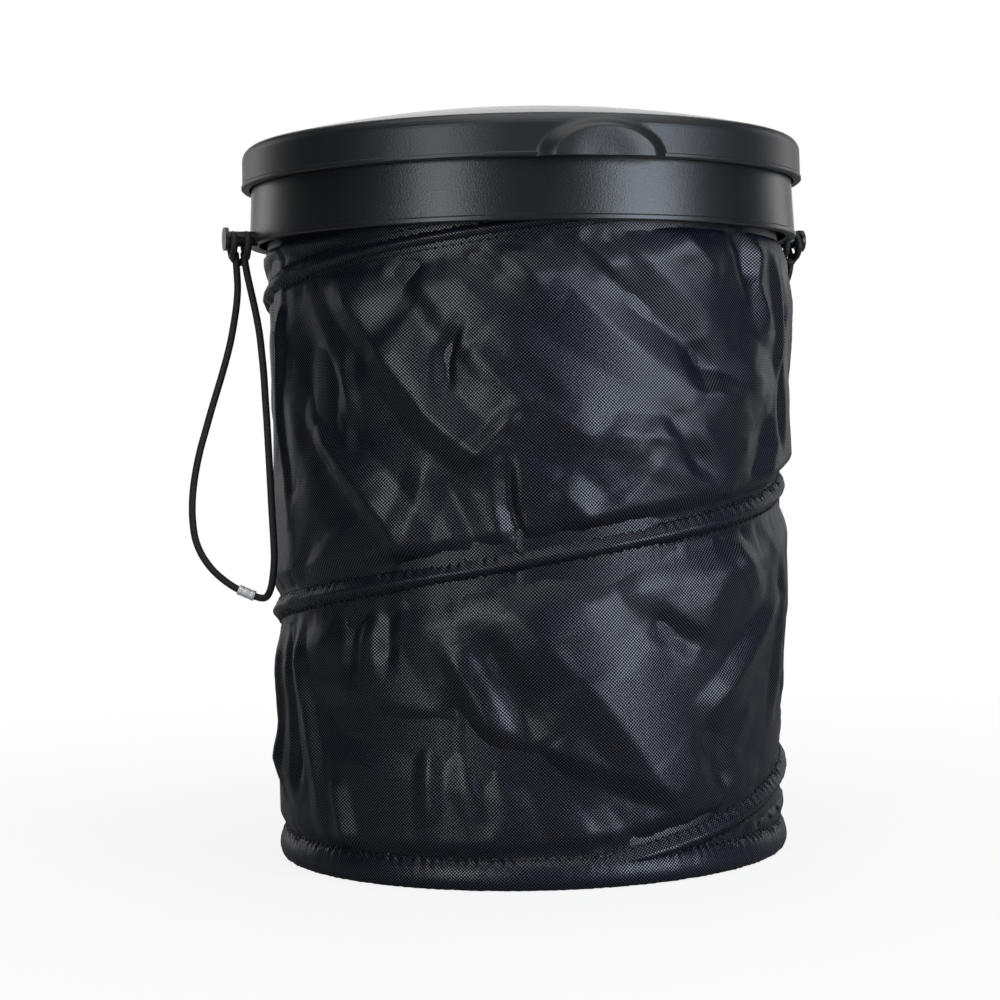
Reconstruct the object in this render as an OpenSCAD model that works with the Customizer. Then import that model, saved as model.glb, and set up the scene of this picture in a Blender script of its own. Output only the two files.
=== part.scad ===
// Pop-up car trash bin: a domed lid on a rear hinge, a moulded collar with two cord lugs,
// and a fabric bag held open by a coiled spring wire that lets it press flat.
// The bin stands on z = 0 with the middle of its floor at the origin. The lid's thumb tab
// faces -Y, the hinge is at +Y and the cord lugs point along -X and +X. Sizes are in mm.

/* [Lid] */
// Outside diameter of the lid at its skirt
lid_d = 160; // [158:1:166]
// Thickness of the moulded lid
lid_wall = 1.8; // [1.4:0.1:2.2]
// Radius of the lid's shallow crown
crown_r = 325; // [250:5:450]
// Radius of the rounded shoulder between the crown and the skirt
shoulder_r = 3.6; // [2.6:0.1:4.6]
// How far the skirt reaches down over the collar
skirt_lap = 7.5; // [6:0.5:9]
// Width of the thumb tab where it meets the skirt's lower edge
tab_w = 32; // [26:1:42]
// Height of the thumb tab above the skirt's lower edge
tab_h = 9; // [6:0.5:10]
// How far the thumb tab stands out of the skirt
tab_out = 3.2; // [1.5:0.1:3.5]
// Depth of the hollow low in the tab's face
tab_hollow = 1; // [0.4:0.1:1.2]

/* [Collar] */
// Play between the lid's skirt and the top of the collar
skirt_play = 1; // [0.8:0.1:1.4]
// How far the collar flares out from its top to its lower lip
collar_flare = 1; // [0.4:0.1:1.6]
// Thickness of the collar's wall at its top
collar_wall = 1.6; // [1.2:0.1:2.2]
// Height of the collar
collar_h = 23.5; // [21:0.5:26]
// Width of the ledge that turns in at the collar's top
ledge_w = 4.4; // [3:0.2:5]
// Thickness of that ledge
ledge_t = 1.8; // [1.4:0.1:2.4]
// How far the lower lip stands out
lip_out = 0.4; // [0.2:0.1:0.8]
// Height of the lower lip
lip_h = 1.6; // [1:0.1:2.4]
// Radial thickness of the ring that clamps the bag inside the collar
clamp_t = 2.3; // [1.6:0.1:2.8]

/* [Hinge] */
// Radius of the hinge pin
pin_r = 1.2; // [1:0.1:1.5]
// Distance of the pin's axis behind the lid's skirt
pin_back = 3; // [2.8:0.1:3.6]
// Depth of the pin's axis below the skirt's lower edge
pin_drop = 2; // [1.8:0.1:3]
// Radius of the rounded end of each hinge ear
ear_r = 3.2; // [3:0.1:3.6]
// Thickness of each hinge ear
ear_t = 3; // [2:0.2:4]
// Width of the lid's knuckle between the ears
knuckle_w = 13.8; // [10:0.2:18]
// Radius of the lid's knuckle
knuckle_r = 3; // [2.6:0.1:3.2]
// Gap between the knuckle and each ear
ear_gap = 0.3; // [0.2:0.1:0.6]

/* [Cord lugs] */
// Width of a lug's bar
lug_w = 6; // [5:0.5:8]
// Thickness of a lug's bar
lug_t = 4.2; // [3.6:0.2:5]
// Reach of the lug from the collar's lower lip to the face of its end plate
lug_reach = 7.8; // [7.4:0.2:9]
// Thickness of the end plate
lug_plate_t = 1; // [0.8:0.1:1.4]
// How far the end plate stands out around the bar
lug_plate_out = 1.1; // [0.8:0.1:1.6]
// Diameter of the elastic cord
cord_d = 2; // [1.6:0.1:2.2]

/* [Bag] */
// Height of the collar's lower edge above the floor
bag_h = 173; // [150:1:200]
// Play between the bag's upper channel and the collar
bag_play = 0.25; // [0.2:0.05:0.6]
// How far the bag draws in from the collar to its foot
bag_taper = 2.3; // [1:0.1:4]
// Thickness of the bag's fabric, with its coating
cloth_t = 0.7; // [0.5:0.1:0.9]
// How far the fabric puffs out between the turns of the coil
puff = 2.4; // [1.6:0.2:3]
// Strength of the creases pressed into the fabric
crease_gain = 1; // [0.6:0.1:1.1]
// Thickness of the stiff board in the floor
board_t = 2; // [1:0.5:3]

/* [Coil] */
// Diameter of the spring wire
wire_d = 1.5; // [1.2:0.1:1.6]
// Width of the sewn channel that holds the wire
channel_w = 6.4; // [5:0.2:6.6]
// Thickness of the channel's cloth tape
tape_t = 0.5; // [0.3:0.1:0.6]
// Gap between the bag and what is sewn on it
sew_gap = 0.35; // [0.3:0.05:0.4]

/* [Hidden] */
$fn = 96;

// Clearances
fit_gap = 0.3;
seat_gap = 0.2;
clamp_gap = 0.1;
wire_gap = 0.15;
pin_run = 0.05;
pin_hold = 0.02;
overlap = 0.5;

// Heights of the stack
shoulder_lift = 0.7;
rim_z = bag_h + collar_h;
skirt_z = rim_z - skirt_lap;
shoulder_z = rim_z + shoulder_lift;
lid_r = lid_d / 2;
shoulder_c = lid_r - shoulder_r;
crown_c_r = crown_r - shoulder_r;
crown_turn = asin(shoulder_c / crown_c_r);
crown_z = shoulder_z - crown_c_r * cos(crown_turn);
pin_y = lid_r + pin_back;
pin_z = skirt_z - pin_drop;

// Radii of the collar and the bag
collar_top_r = lid_r - lid_wall - skirt_play;
collar_low_r = collar_top_r + collar_flare;
collar_in_r = collar_top_r - collar_wall;
channel_out = sew_gap + wire_d + 2 * wire_gap + tape_t;
bag_top_r = collar_in_r - bag_play - channel_out;
bag_low_r = bag_top_r - bag_taper;
clamp_out_r = bag_top_r - cloth_t - fit_gap;
floor_r = bag_low_r - cloth_t - fit_gap;

// The coil: the angle round the bin where it leaves the lower hoop, and its height at each
// quarter turn, as a share of the way from the lower to the upper hoop. It rises anticlockwise.
coil_start = 254.5;
coil_shares = [0, 0.116, 0.232, 0.353, 0.45, 0.551, 0.696, 0.841, 0.928, 1];
coil_first = 42;
coil_last = 744;
coil_step = 6;
low_hoop_z = channel_w / 2 + 0.4;
hoop_lift = 9.8;
top_hoop_z = bag_h + channel_w / 2 + hoop_lift;
grip_z = bag_h + 7;
hem_drop = 1.7;
hem_z = rim_z - ledge_t - hem_drop;

// Mesh of the bag's wall, and how the cloth leaves a channel or the collar's grip
wall_cols = 72;
wall_rows = 27;
flat_edge = 3.8;
flat_half = channel_w / 2 + flat_edge;
puff_run = 14;
crease_run = 6;

// Creases in the cloth: the angle from the coil's start and the height above the floor of
// each end, then how far it stands out (in, where negative) and its half width
creases = [
    [-44, 163, -6, 108, 2.6, 12],
    [-58, 150, -38, 108, -2.6, 14],
    [-30, 166, -14, 128, -1.2, 9],
    [-12, 144, -12, 128, -2.2, 7],
    [-11, 141, 14, 117, 2.2, 10],
    [-1, 125, -8, 113, -1.8, 7],
    [-5, 113, -3, 98, -2.2, 7],
    [8, 170, 40, 134, -2.2, 11],
    [35, 130, 60, 128, 1.8, 10],
    [54, 172, 57, 148, -2, 8],
    [-6, 171, 4, 154, 1.4, 8],
    [14, 172, 22, 156, 1.6, 8],
    [-20, 111, -27, 84, 2, 8],
    [-17, 107, -9, 88, -1.8, 8],
    [4, 106, 16, 92, 1.6, 9],
    [66, 124, 54, 104, -1.8, 10],
    [-5, 75, 33, 17, 2.6, 10],
    [-12, 66, 6, 34, -2.4, 10],
    [-53, 46, -20, 41, -2, 9],
    [-20, 41, 10, 28, -2.4, 9],
    [10, 28, 33, 18, -1.6, 8],
    [-47, 28, -43, 9, 1.6, 8],
    [-21, 38, -22, 16, 1.4, 8],
    [70, 72, 38, 41, 2, 9],
    [38, 40, 47, 24, -1.8, 9],
    [-62, 66, -52, 14, 1.8, 9],
    [-41, 72, -42, 54, -1.6, 8],
    [90, 164, 101, 124, 2.2, 10],
    [112, 100, 92, 62, -2.2, 11],
    [128, 166, 150, 140, -1.8, 10],
    [146, 130, 178, 112, 2, 12],
    [150, 96, 190, 60, 2.4, 12],
    [140, 62, 152, 30, -2, 10],
    [188, 160, 206, 128, -2.2, 12],
    [205, 108, 228, 84, 2, 11],
    [196, 44, 236, 18, 2.2, 11],
    [228, 168, 246, 136, 1.8, 10],
    [232, 62, 262, 44, -2, 10],
];

// Routes of the two cord loops: distance from the bin's axis, sideways distance towards the
// front and height. Each runs from its knot down the outer strand and back up the inner one.
left_route = [
    [83.2, 0, 170], [83, 0, 166], [82.8, 0, 161], [83.2, 0, 156], [84, 0, 151], [85, 0, 146],
    [86.3, 0, 141], [87.8, 0, 136], [89.4, 0, 131], [91, 0, 126], [92.5, 0, 121],
    [94, 0, 116], [95.2, 0, 111], [96.1, 0, 106], [96.6, 0, 101], [96.6, 0, 96],
    [96, 0.2, 91], [94.4, 0.4, 86.6], [91.8, 0.8, 82.6], [88.6, 1.2, 79.4], [84.8, 1.8, 76.7],
    [79.8, 2.8, 74.4], [77.4, 4.8, 74.2], [76.3, 7, 76.6], [75.8, 8.6, 80.4], [75.5, 9.4, 85],
    [75.6, 9.6, 90], [75.8, 9.6, 95], [76, 9.6, 100], [76.2, 9.6, 106], [76.4, 9.5, 112],
    [76.6, 9.3, 118], [76.8, 9, 124], [77, 8.4, 130], [77.1, 7.4, 136], [77.3, 5.8, 142],
    [77.6, 4, 148], [78.3, 2.2, 154], [79.3, 0.9, 160], [80.2, 0.2, 165], [80.9, 0, 170],
];
right_route = [
    [83.2, 0, 170], [82.6, -0.4, 165], [81, -1.4, 160], [79.4, -3, 155], [78.2, -5, 150],
    [77.4, -7.2, 145], [76.9, -9, 140], [76.5, -10.4, 135], [76.2, -11.4, 130],
    [76, -12, 124], [75.8, -12.4, 118], [75.7, -12.6, 112], [75.6, -12.8, 106],
    [75.4, -13, 100], [75.3, -13, 94], [75.2, -13, 88], [75.2, -12.9, 82], [75.2, -12.6, 77],
    [75.6, -11.2, 71.4], [76, -8.6, 67.4], [76.5, -3.2, 66], [76.6, -0.4, 67.8],
    [76.5, 0.9, 71.2], [76.3, 1.4, 76], [75.9, 1.6, 82], [76, 1.6, 88],
    [76.2, 1.6, 94], [76.3, 1.6, 100], [76.5, 1.6, 106], [76.6, 1.6, 112], [76.8, 1.6, 118],
    [77, 1.6, 124], [77.1, 1.6, 130], [77.3, 1.5, 136], [77.5, 1.4, 142], [77.8, 1.2, 148],
    [78.4, 0.9, 154], [79.2, 0.5, 160], [80.1, 0.2, 165], [80.9, 0, 170],
];
// Where each ferrule is crimped on its loop, counted in route points
left_crimp = 20;
right_crimp = 19;
cord_sides = 8;
ferrule_l = 5;
ferrule_t = 0.4;

// Easing and arcs
function unit_share(x) = min(1, max(0, x));
function ease(x) = let (t = unit_share(x)) t * t * (3 - 2 * t);
function turn_gap(a, b) = (a - b) - 360 * floor((a - b + 180) / 360);
function arc(c, r, from, to, n) = [for (i = [0:n]) c + r * [cos(from + (to - from) * i / n),
    sin(from + (to - from) * i / n)]];

// Height of the coil's middle line at angle a past its start, by a smooth curve through
// its quarter turns
function share_at(i) = coil_shares[max(0, min(len(coil_shares) - 1, i))];
function coil_share(a) =
    let (i = floor(a / 90), t = a / 90 - i)
    let (p = [share_at(i - 1), share_at(i), share_at(i + 1), share_at(i + 2)])
    (2 * p[1] + (p[2] - p[0]) * t + (2 * p[0] - 5 * p[1] + 4 * p[2] - p[3]) * pow(t, 2)
        + (3 * p[1] - p[0] - 3 * p[2] + p[3]) * pow(t, 3)) / 2;
function coil_z(a) = low_hoop_z + (top_hoop_z - low_hoop_z) * coil_share(a);

// Radius of the bag's outside where it is sewn down, and of the whole crumpled wall
function seat_r(z) = bag_low_r + (bag_top_r - bag_low_r) * unit_share(z / bag_h);
function channel_gap(a, z) = min(abs(z - low_hoop_z), abs(z - grip_z),
    abs(z - coil_z(a)), abs(z - coil_z(a + 360)));
function crease_gap(a, z, c) =
    let (arc_mm = bag_top_r * PI / 180)
    let (p = [turn_gap(a, c[0]) * arc_mm, z - c[1]], d = [(c[2] - c[0]) * arc_mm, c[3] - c[1]])
    norm(p - d * unit_share(p * d / (d * d)));
function crease_sum(a, z, i = 0) = i == len(creases) ? 0 :
    creases[i][4] * max(0, 1 - crease_gap(a, z, creases[i]) / creases[i][5])
    + crease_sum(a, z, i + 1);
function wall_r(a, z) =
    let (away = channel_gap(a, z) - flat_half)
    seat_r(z) + (z > bag_h ? 0 :
        puff * ease(away / puff_run) + crease_gain * crease_sum(a, z) * ease(away / crease_run));
function around(a, r, z) = [r * cos(coil_start + a), r * sin(coil_start + a), z];

// Skin of a tube whose rings hold the same number of points. Each cap is a fan from the
// first point, unless its triangles are given.
module skin(rings, cap = []) {
    n = len(rings[0]);
    last = (len(rings) - 1) * n;
    side = [for (k = [0:n:last - n], i = [0:n - 1]) let (j = (i + 1) % n)
        each [[k + i, k + j, k + n + j], [k + i, k + n + j, k + n + i]]];
    fan = len(cap) > 0 ? cap : [for (i = [1:n - 2]) [0, i, i + 1]];
    start_cap = [for (t = fan) [t[2], t[1], t[0]]];
    end_cap = [for (t = fan) [last + t[0], last + t[1], last + t[2]]];
    polyhedron(points = [for (r = rings) each r], faces = concat(side, start_cap, end_cap));
}

// Rings of a section that runs along the coil; each section point is [outwards, upwards]
function coil_rings(section) = [for (a = [coil_first:coil_step:coil_last])
    [for (p = section) around(a, seat_r(coil_z(a)) + p[0], coil_z(a) + p[1])]];

// Section of a sewn channel over the wire, open towards the bag
channel_room = 0.4;
channel_slope = 0.3;
function channel_section() =
    let (half = channel_w / 2, base = sew_gap, cover = channel_out - tape_t)
    let (in_w = wire_d / 2 + channel_room, out_w = in_w + tape_t, foot = out_w + channel_slope)
    [[base, -half], [base + tape_t, -half], [base + tape_t, -foot],
        [cover + tape_t, -out_w / 2], [cover + tape_t, out_w / 2], [base + tape_t, foot],
        [base + tape_t, half], [base, half], [base, in_w], [cover, in_w / 2], [cover, -in_w / 2],
        [base, -in_w]];
channel_cap = [[0, 1, 2], [0, 2, 11], [2, 3, 10], [2, 10, 11], [3, 4, 9], [3, 9, 10],
    [4, 5, 8], [4, 8, 9], [5, 6, 7], [5, 7, 8]];
wire_out = sew_gap + wire_gap + wire_d / 2;
wire_circle = [for (i = [0:5]) wire_d / 2 * [cos(i * 60), sin(i * 60)] + [wire_out, 0]];

module hoop(z) {
    translate([0, 0, z]) rotate_extrude() translate([seat_r(z) + wire_out, 0])
        circle(d = wire_d, $fn = 24);
}
module ring_channel(z) {
    translate([0, 0, z]) rotate_extrude() translate([seat_r(z), 0]) polygon(channel_section());
}

// Moulded lid, with a fine bead round the skirt's lower edge
edge_h = 1.1;
edge_out = 0.35;
module lid_shell() {
    inner_r = crown_r - lid_wall;
    inner_edge = 90 - crown_turn;
    rotate_extrude() polygon(concat(
        [[0, crown_z + crown_r]],
        arc([0, crown_z], crown_r, 88, inner_edge, 8),
        arc([shoulder_c, shoulder_z], shoulder_r, inner_edge - 12, 0, 6),
        [[lid_r + 0.1, skirt_z + edge_h + 0.3], [lid_r + edge_out, skirt_z + edge_h],
            [lid_r + edge_out, skirt_z + 0.4], [lid_r - 0.1, skirt_z], [lid_r - lid_wall, skirt_z]],
        arc([shoulder_c, shoulder_z], shoulder_r - lid_wall, 0, inner_edge - 12, 6),
        arc([0, crown_z], inner_r, inner_edge, 88, 8),
        [[0, crown_z + inner_r]]));
}
// Low rib under the lid that rests on the collar's ledge
rib_inset = 1.6;
rib_w = 1.8;
module lid_seat_rib() {
    out_r = collar_top_r - rib_inset;
    top_z = shoulder_z + shoulder_r - lid_wall + 1;
    rotate_extrude() polygon([[out_r - rib_w, rim_z + seat_gap], [out_r, rim_z + seat_gap],
        [out_r, top_z - 0.3], [out_r - rib_w, top_z]]);
}
// Half-moon thumb tab: rings from its outline on the skirt to the middle of its face, each
// with its share of the outline and of how far the tab stands out
tab_rings = [[1, -0.45], [1, 0.1], [0.98, 0.38], [0.93, 0.66], [0.85, 0.86], [0.74, 0.96], [0.6, 1],
    [0.42, 1], [0.22, 1], [0.04, 1]];
hollow_reach = [0.5, 0.72];
function tab_point(ring, turn) =
    let (across = tab_w / 2 * ring[0] * cos(turn), up = tab_h * ring[0] * sin(turn))
    let (off = norm([across / (tab_w / 2 * hollow_reach[0]), up / (tab_h * hollow_reach[1])]))
    let (r = lid_r + tab_out * ring[1] - (ring[1] < 0 ? 0 : tab_hollow * ease(1.25 - off)))
    [across, -sqrt(pow(r, 2) - pow(across, 2)), skirt_z + up];
module thumb_tab() {
    difference() {
        skin([for (ring = tab_rings) [for (turn = [180:-7.5:0]) tab_point(ring, turn)]]);
        translate([0, 0, skirt_z - 1]) cylinder(r = lid_r - 1, h = tab_h + 2);
    }
}
module along_x(w) {
    translate([-w / 2, 0, 0]) rotate([90, 0, 90]) linear_extrude(w) children();
}
module pin_bore(r, w) {
    translate([-w / 2, pin_y, pin_z]) rotate([0, 90, 0]) cylinder(r = r, h = w);
}
module lid_knuckle() {
    along_x(knuckle_w) union() {
        translate([pin_y, pin_z]) circle(knuckle_r);
        polygon([[lid_r - 1, skirt_z - 0.7], [pin_y - 2.5, pin_z - 1], [pin_y + 2.5, pin_z - 1],
            [pin_y + 2.8, pin_z + 1], [pin_y + 1.5, skirt_z + 3.5], [lid_r + 0.5, skirt_z + 7.5],
            [lid_r - 1, skirt_z + 7.5]]);
    }
}
module lid() {
    color("#1b1c1f") difference() {
        union() {
            lid_shell();
            lid_seat_rib();
            thumb_tab();
            lid_knuckle();
        }
        pin_bore(pin_r + pin_run, knuckle_w + 1);
    }
}

// Steel pin through the ears and the knuckle
pin_l = knuckle_w + 2 * (ear_gap + ear_t) + 0.8;
module hinge_pin() {
    color("#8c8f94") pin_bore(pin_r, pin_l);
}

// Moulded collar
module collar_ring() {
    rotate_extrude() polygon([
        [collar_in_r, bag_h + 0.4], [collar_in_r + 0.4, bag_h], [collar_low_r + lip_out - 0.3, bag_h],
        [collar_low_r + lip_out, bag_h + 0.3], [collar_low_r + lip_out, bag_h + lip_h - 0.4],
        [collar_low_r, bag_h + lip_h], [collar_top_r, rim_z - 0.5], [collar_top_r - 0.5, rim_z],
        [collar_in_r - ledge_w + 0.3, rim_z], [collar_in_r - ledge_w, rim_z - 0.3],
        [collar_in_r - ledge_w, rim_z - ledge_t + 0.3],
        [collar_in_r - ledge_w + 0.3, rim_z - ledge_t], [collar_in_r, rim_z - ledge_t]]);
}
module hinge_ear() {
    along_x(ear_t) union() {
        translate([pin_y, pin_z]) circle(ear_r);
        polygon([[collar_in_r + 0.6, pin_z - 5], [collar_top_r + 1.4, pin_z - 5],
            [pin_y - 1, pin_z - ear_r + 0.05], [pin_y, pin_z + 1],
            [collar_in_r + 0.6, pin_z + 1]]);
    }
}
// Spool that a cord loop hangs on: a flat bar with round edges and an end plate
lug_z = bag_h + 1.3;
lug_end = collar_low_r + lip_out + lug_reach;
module stadium(w, t) {
    square([w - t, t], center = true);
    for (side = [-1, 1]) translate([side * (w - t) / 2, 0]) circle(d = t);
}
module out_along_x(from, to) {
    translate([from, 0, lug_z]) rotate([90, 0, 90]) linear_extrude(to - from) children();
}
module lug() {
    out_along_x(collar_low_r - 1, lug_end - overlap) stadium(lug_w, lug_t);
    out_along_x(lug_end - lug_plate_t, lug_end)
        stadium(lug_w + 2 * lug_plate_out, lug_t + 2 * lug_plate_out);
}
module collar() {
    ear_x = (knuckle_w + ear_t) / 2 + ear_gap;
    color("#191a1d") difference() {
        union() {
            collar_ring();
            for (side = [-1, 1]) translate([side * ear_x, 0, 0]) hinge_ear();
            for (turn = [0, 180]) rotate(turn) lug();
        }
        pin_bore(pin_r + pin_hold, pin_l + 1);
    }
}

// Ring that clamps the bag's top against the collar
clamp_lift = 3;
clamp_bevel = 0.6;
module clamp_ring() {
    in_r = clamp_out_r - clamp_t;
    low = bag_h + clamp_lift;
    top = rim_z - ledge_t - clamp_gap;
    color("#232428") rotate_extrude() polygon([
        [in_r + clamp_bevel, low], [clamp_out_r - clamp_bevel, low],
        [clamp_out_r, low + clamp_bevel], [clamp_out_r, top], [in_r, top],
        [in_r, low + clamp_bevel]]);
}

// Fabric bag
wall_heights = concat([for (j = [0:wall_rows - 1]) bag_h * j / (wall_rows - 1)],
    [(bag_h + hem_z) / 2, hem_z]);
module bag_wall() {
    rows = len(wall_heights);
    skins = [0, cloth_t];
    points = [for (s = skins, z = wall_heights, i = [0:wall_cols - 1])
        let (a = i * 360 / wall_cols) around(a, wall_r(a, z) - s, z)];
    inner = rows * wall_cols;
    top = (rows - 1) * wall_cols;
    sides = [for (j = [0:rows - 2], i = [0:wall_cols - 1])
        let (k = (i + 1) % wall_cols, p = j * wall_cols, q = p + wall_cols)
        each [[p + i, q + i, q + k], [p + i, q + k, p + k],
            [inner + p + i, inner + q + k, inner + q + i], [inner + p + i, inner + p + k, inner + q + k]]];
    edges = [for (i = [0:wall_cols - 1]) let (k = (i + 1) % wall_cols)
        each [[i, k, inner + k], [i, inner + k, inner + i],
            [top + i, inner + top + k, top + k], [top + i, inner + top + i, inner + top + k]]];
    color("#16181f") polyhedron(points = points, faces = concat(sides, edges));
}
module spiral_wire() {
    color("#7d8086") skin(coil_rings(wire_circle));
}
module spiral_channel() {
    color("#1d1f27") skin(coil_rings(channel_section()), channel_cap);
}
module top_hoop() {
    color("#7d8086") hoop(top_hoop_z);
}
module top_channel() {
    color("#1d1f27") ring_channel(top_hoop_z);
}
module bottom_hoop() {
    color("#7d8086") hoop(low_hoop_z);
}
module bottom_channel() {
    color("#1d1f27") ring_channel(low_hoop_z);
}
module bag_floor() {
    color("#16181f") cylinder(r = floor_r, h = cloth_t);
}
// Tape bound round the seam between the wall and the floor, and the board inside it
binding_t = 1.6;
binding_h = 3.8;
module floor_binding() {
    low = cloth_t + fit_gap;
    fold_z = low + binding_h - 0.6;
    color("#1d1f27") rotate_extrude() polygon([
        [floor_r - binding_t, low], [floor_r, low], [floor_r, fold_z],
        [floor_r - binding_t / 2, low + binding_h], [floor_r - binding_t, fold_z]]);
}
module base_board() {
    color("#2a2b30") translate([0, 0, cloth_t + fit_gap])
        cylinder(r = floor_r - binding_t - 2 * fit_gap, h = board_t);
}

// Elastic cord loops: each strand is swept along its route
function route_point(p, side) = [side * p[0], -p[1], p[2]];
function cord_rings(route, side) = [for (i = [0:len(route) - 1])
    let (here = route_point(route[i], side))
    let (along = route_point(route[min(i + 1, len(route) - 1)], side)
        - route_point(route[max(i - 1, 0)], side))
    let (t = along / norm(along), flat = [0, 1, 0] - t[1] * t, e = flat / norm(flat))
    let (f = cross(e, t))
    [for (k = [0:cord_sides - 1])
        here + cord_d / 2 * (cos(k * 360 / cord_sides) * e + sin(k * 360 / cord_sides) * f)]];
// The knot: two turns round the lug's bar and the bight that crosses below them
module cord_turn(x) {
    bend_r = lug_t / 2 + 0.1 + cord_d / 2;
    run = lug_w - lug_t;
    translate([x, 0, lug_z]) rotate([90, 0, 90]) {
        for (side = [0, 180]) rotate(side) translate([run / 2, 0, 0]) rotate(-90)
            rotate_extrude(angle = 180) translate([bend_r, 0]) circle(d = cord_d, $fn = 24);
        for (y = [-bend_r, bend_r]) translate([-run / 2, y, 0]) rotate([0, 90, 0])
            cylinder(d = cord_d, h = run, $fn = 24);
    }
}
module cord_knot() {
    bight_z = lug_z - lug_t / 2 - cord_d - 0.6;
    inner_x = lug_end - lug_plate_t - 1.5 * cord_d - 2.2;
    outer_x = lug_end - lug_plate_t - cord_d / 2 - fit_gap;
    for (x = [inner_x, outer_x]) cord_turn(x);
    translate([inner_x - 0.6, -1.2, bight_z]) rotate([0, 90, 0])
        cylinder(d = cord_d, h = outer_x - inner_x + 1.2, $fn = 24);
}
// Crimped sleeve across the gap between two route points
module ferrule(route, at, side) {
    a = route_point(route[at], side);
    d = route_point(route[at + 1], side) - a;
    pitch = acos(d[2] / norm(d));
    yaw = atan2(d[1], d[0]);
    middle = a + d / 2;
    color("#b9bcc1") translate(middle) rotate([0, pitch, yaw]) difference() {
        cylinder(d = cord_d + 0.1 + 2 * ferrule_t, h = ferrule_l, center = true, $fn = 32);
        cylinder(d = cord_d + 0.1, h = ferrule_l + 1, center = true, $fn = 32);
    }
}
module left_cord() {
    color("#141519") skin(cord_rings(left_route, -1));
}
module left_cord_knot() {
    color("#141519") rotate(180) cord_knot();
}
module left_ferrule() {
    ferrule(left_route, left_crimp, -1);
}
module right_cord() {
    color("#141519") skin(cord_rings(right_route, 1));
}
module right_cord_knot() {
    color("#141519") cord_knot();
}
module right_ferrule() {
    ferrule(right_route, right_crimp, 1);
}

lid();
hinge_pin();
collar();
clamp_ring();
top_hoop();
top_channel();
bag_wall();
spiral_wire();
spiral_channel();
bottom_hoop();
bottom_channel();
bag_floor();
floor_binding();
base_board();
left_cord();
left_cord_knot();
left_ferrule();
right_cord();
right_cord_knot();
right_ferrule();
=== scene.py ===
"""Dresses the pop-up car bin: its crumpled cloth bag, sewn spring coil, elastic cord loops,
moulded lid and collar, and the small studio that it stands in."""
import math

import bpy
import numpy as np
from bpy.props import FloatProperty, FloatVectorProperty, IntProperty, PointerProperty
from mathutils import Matrix, Vector


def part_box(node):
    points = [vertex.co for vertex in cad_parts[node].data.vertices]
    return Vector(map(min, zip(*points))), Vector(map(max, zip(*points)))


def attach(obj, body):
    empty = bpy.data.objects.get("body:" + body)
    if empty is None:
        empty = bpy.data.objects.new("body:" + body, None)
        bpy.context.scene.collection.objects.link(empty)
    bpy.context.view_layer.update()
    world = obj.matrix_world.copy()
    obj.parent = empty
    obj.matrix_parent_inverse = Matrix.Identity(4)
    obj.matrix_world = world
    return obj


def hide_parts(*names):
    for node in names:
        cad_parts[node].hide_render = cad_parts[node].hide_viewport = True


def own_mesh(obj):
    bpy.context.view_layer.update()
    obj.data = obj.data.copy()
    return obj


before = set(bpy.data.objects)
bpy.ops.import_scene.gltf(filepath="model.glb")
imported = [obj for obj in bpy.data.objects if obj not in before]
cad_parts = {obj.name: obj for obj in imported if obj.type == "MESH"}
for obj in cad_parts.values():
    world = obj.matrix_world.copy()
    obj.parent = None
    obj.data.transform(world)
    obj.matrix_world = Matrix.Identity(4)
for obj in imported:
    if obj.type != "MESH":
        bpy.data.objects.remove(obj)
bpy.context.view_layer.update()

bl_info = {
    "name": "Pop-up car bin",
    "version": (1, 0, 0),
    "blender": (4, 5, 0),
    "location": "View3D > Sidebar > Car bin",
    "description": "Builds the cloth, stitches, cords, mouldings and studio of a pop-up car bin",
    "category": "Object",
}

MM = 0.001

# What the frame says of the coil's two hoops and of what stands on them, in millimetres
hoop_low, hoop_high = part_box("bottom_hoop")
WIRE_R = (hoop_high.z - hoop_low.z) / 2 / MM
LOW_HOOP_Z = (hoop_high.z + hoop_low.z) / 2 / MM
LOW_HOOP_R = hoop_high.x / MM - WIRE_R
hoop_low, hoop_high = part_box("top_hoop")
TOP_HOOP_Z = (hoop_high.z + hoop_low.z) / 2 / MM
TOP_HOOP_R = hoop_high.x / MM - WIRE_R
COLLAR_LOW_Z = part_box("collar")[0].z / MM
LUG_END_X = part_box("collar")[1].x / MM
HEM_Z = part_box("bag_wall")[1].z / MM
FLOOR_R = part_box("bag_floor")[1].x / MM

# The coil as the part's source gives it: the angle where it leaves the lower hoop, its height
# at each quarter turn as a share of the way between the hoops, the degrees past its start at
# which its wire begins and its last turn ends, and how deep in mm it sinks into the cloth
# behind the collar, from which angle on and over how many degrees
COIL_START = 254.5
COIL_SHARES = (0, 0.116, 0.232, 0.353, 0.45, 0.551, 0.696, 0.841, 0.928, 1)
WIRE_BEGIN = 42
COIL_END = 744
SINK_DEPTH = 1.3
SINK_BEGIN = 655
SINK_RUN = 35

# Also from the source, in millimetres: how far the middle of a wire lies outside the cloth, the
# height of the bag below the collar, and the height at which the collar grips the cloth
WIRE_OUT = 1.25
BAG_H = 173.0
GRIP_Z = 180.0

# Of the cloth and its seams, in millimetres: the cloth's thickness, how far from a channel's
# middle the cloth comes free, the rounding of a fold's crest, how far the middle of a stitch
# lies outside the cloth, the way from stitch to stitch, and how much higher the foot's stitches
# run above the hoop than the coil's above its wire
CLOTH_T = 0.5
CHANNEL_HALF = 3.7
CREST = 0.3
STITCH_OUT = 0.42
STITCH_PITCH = 2.4
FOOT_EXTRA = 1.4

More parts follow.
